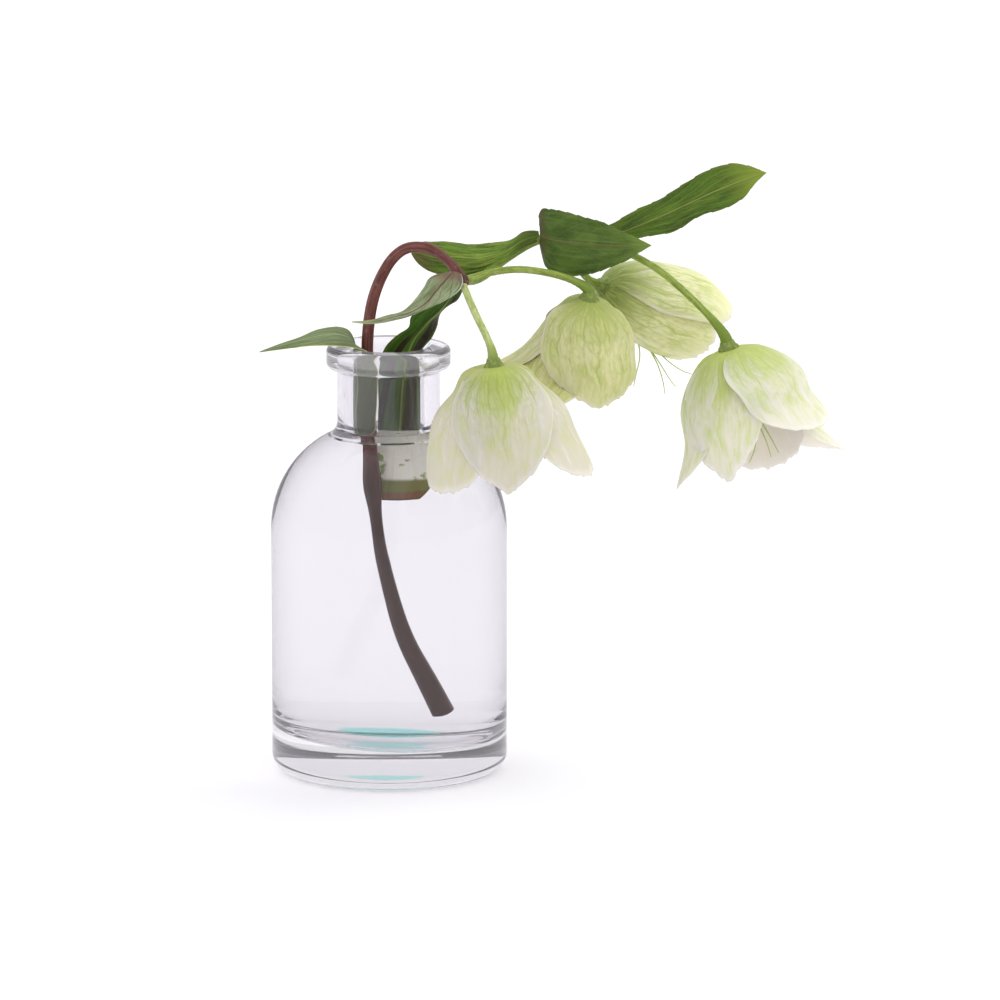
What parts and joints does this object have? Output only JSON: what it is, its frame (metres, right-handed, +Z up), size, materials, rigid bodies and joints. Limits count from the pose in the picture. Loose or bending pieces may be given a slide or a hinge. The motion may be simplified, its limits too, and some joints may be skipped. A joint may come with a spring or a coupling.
{
  "type": "glass bud vase",
  "caption": "Clear glass bottle bud vase with a thick base, round shoulder and rolled lip, holding a lift-out nodding flower sprig.",
  "frame": {"origin": "centre of the bottle's flat underside, where it stands on the table", "axes": "+Z up along the bottle's own axis; the sprig arches over towards +X; -Y is the front"},
  "size_m": [0.1376, 0.0986, 0.1486],
  "materials": {
    "clear_glass": "polished",
    "water": "polished",
    "stem_maroon": "matte",
    "stem_green": "matte",
    "receptacle_green": "matte",
    "leaf_green": "satin",
    "leaf_dark": "satin",
    "leaf_grey_green": "matte",
    "leaf_pale_underside": "matte",
    "sepal_cream": "matte",
    "sepal_green": "matte",
    "nectary_green": "satin",
    "stamen_cream": "matte",
    "style_green": "matte"
  },
  "bodies": {
    "vase": {"glass_bottle": "clear_glass"},
    "sprig": {"main_stem": "stem_maroon", "side_branch": "stem_green", "leaf_over_rim": "leaf_grey_green", "bract_pale": "leaf_pale_underside", "leaf_in_neck": "leaf_dark", "leaf_long": "leaf_green", "bract_broad": "leaf_green", "leaf_top": "leaf_green"},
    "flower_1": {"pedicel_1": "stem_green", "receptacle_1": "receptacle_green", "sepal_1_1": "sepal_cream", "sepal_1_2": "sepal_cream", "sepal_1_3": "sepal_cream", "sepal_1_4": "sepal_cream", "sepal_1_5": "sepal_cream", "nectaries_1": "nectary_green", "stamens_1": "stamen_cream", "carpels_1": "style_green"},
    "flower_2": {"pedicel_2": "stem_green", "receptacle_2": "receptacle_green", "sepal_2_1": "sepal_green", "sepal_2_2": "sepal_green", "sepal_2_3": "sepal_green", "sepal_2_4": "sepal_green", "sepal_2_5": "sepal_green", "nectaries_2": "nectary_green", "stamens_2": "stamen_cream", "carpels_2": "style_green"},
    "flower_3": {"pedicel_3": "stem_green", "receptacle_3": "receptacle_green", "sepal_3_1": "sepal_green", "sepal_3_2": "sepal_green", "sepal_3_3": "sepal_green", "sepal_3_4": "sepal_green", "sepal_3_5": "sepal_green", "nectaries_3": "nectary_green", "stamens_3": "stamen_cream", "carpels_3": "style_green"},
    "flower_4": {"pedicel_4": "stem_green", "receptacle_4": "receptacle_green", "sepal_4_1": "sepal_cream", "sepal_4_2": "sepal_cream", "sepal_4_3": "sepal_cream", "sepal_4_4": "sepal_cream", "sepal_4_5": "sepal_cream", "nectaries_4": "nectary_green", "stamens_4": "stamen_cream", "carpels_4": "style_green"}
  },
  "joints": [
    {"name": "sprig_lift", "type": "slide", "parent": "vase", "child": "sprig", "axis": [-0.0645, 0, 0.9979], "range_m": [0, 0.12]},
    {"name": "flower_1_nod", "type": "hinge", "parent": "sprig", "child": "flower_1", "pos_m": [0.018, -0.014, 0.1242], "axis": [1, 0, 0], "range_deg": [-8, 3], "stiffness_Nm_per_rad": 0.06},
    {"name": "flower_2_nod", "type": "hinge", "parent": "sprig", "child": "flower_2", "pos_m": [0.018, -0.014, 0.1242], "axis": [0, 1, 0], "range_deg": [-2, 5], "stiffness_Nm_per_rad": 0.06},
    {"name": "flower_3_nod", "type": "hinge", "parent": "sprig", "child": "flower_3", "pos_m": [0.0468, 0.002, 0.1286], "axis": [0, 1, 0], "range_deg": [-4, 4], "stiffness_Nm_per_rad": 0.06},
    {"name": "flower_4_nod", "type": "hinge", "parent": "sprig", "child": "flower_4", "pos_m": [0.0468, 0.002, 0.1286], "axis": [0, 1, 0], "range_deg": [-5, 5], "stiffness_Nm_per_rad": 0.06}
  ]
}
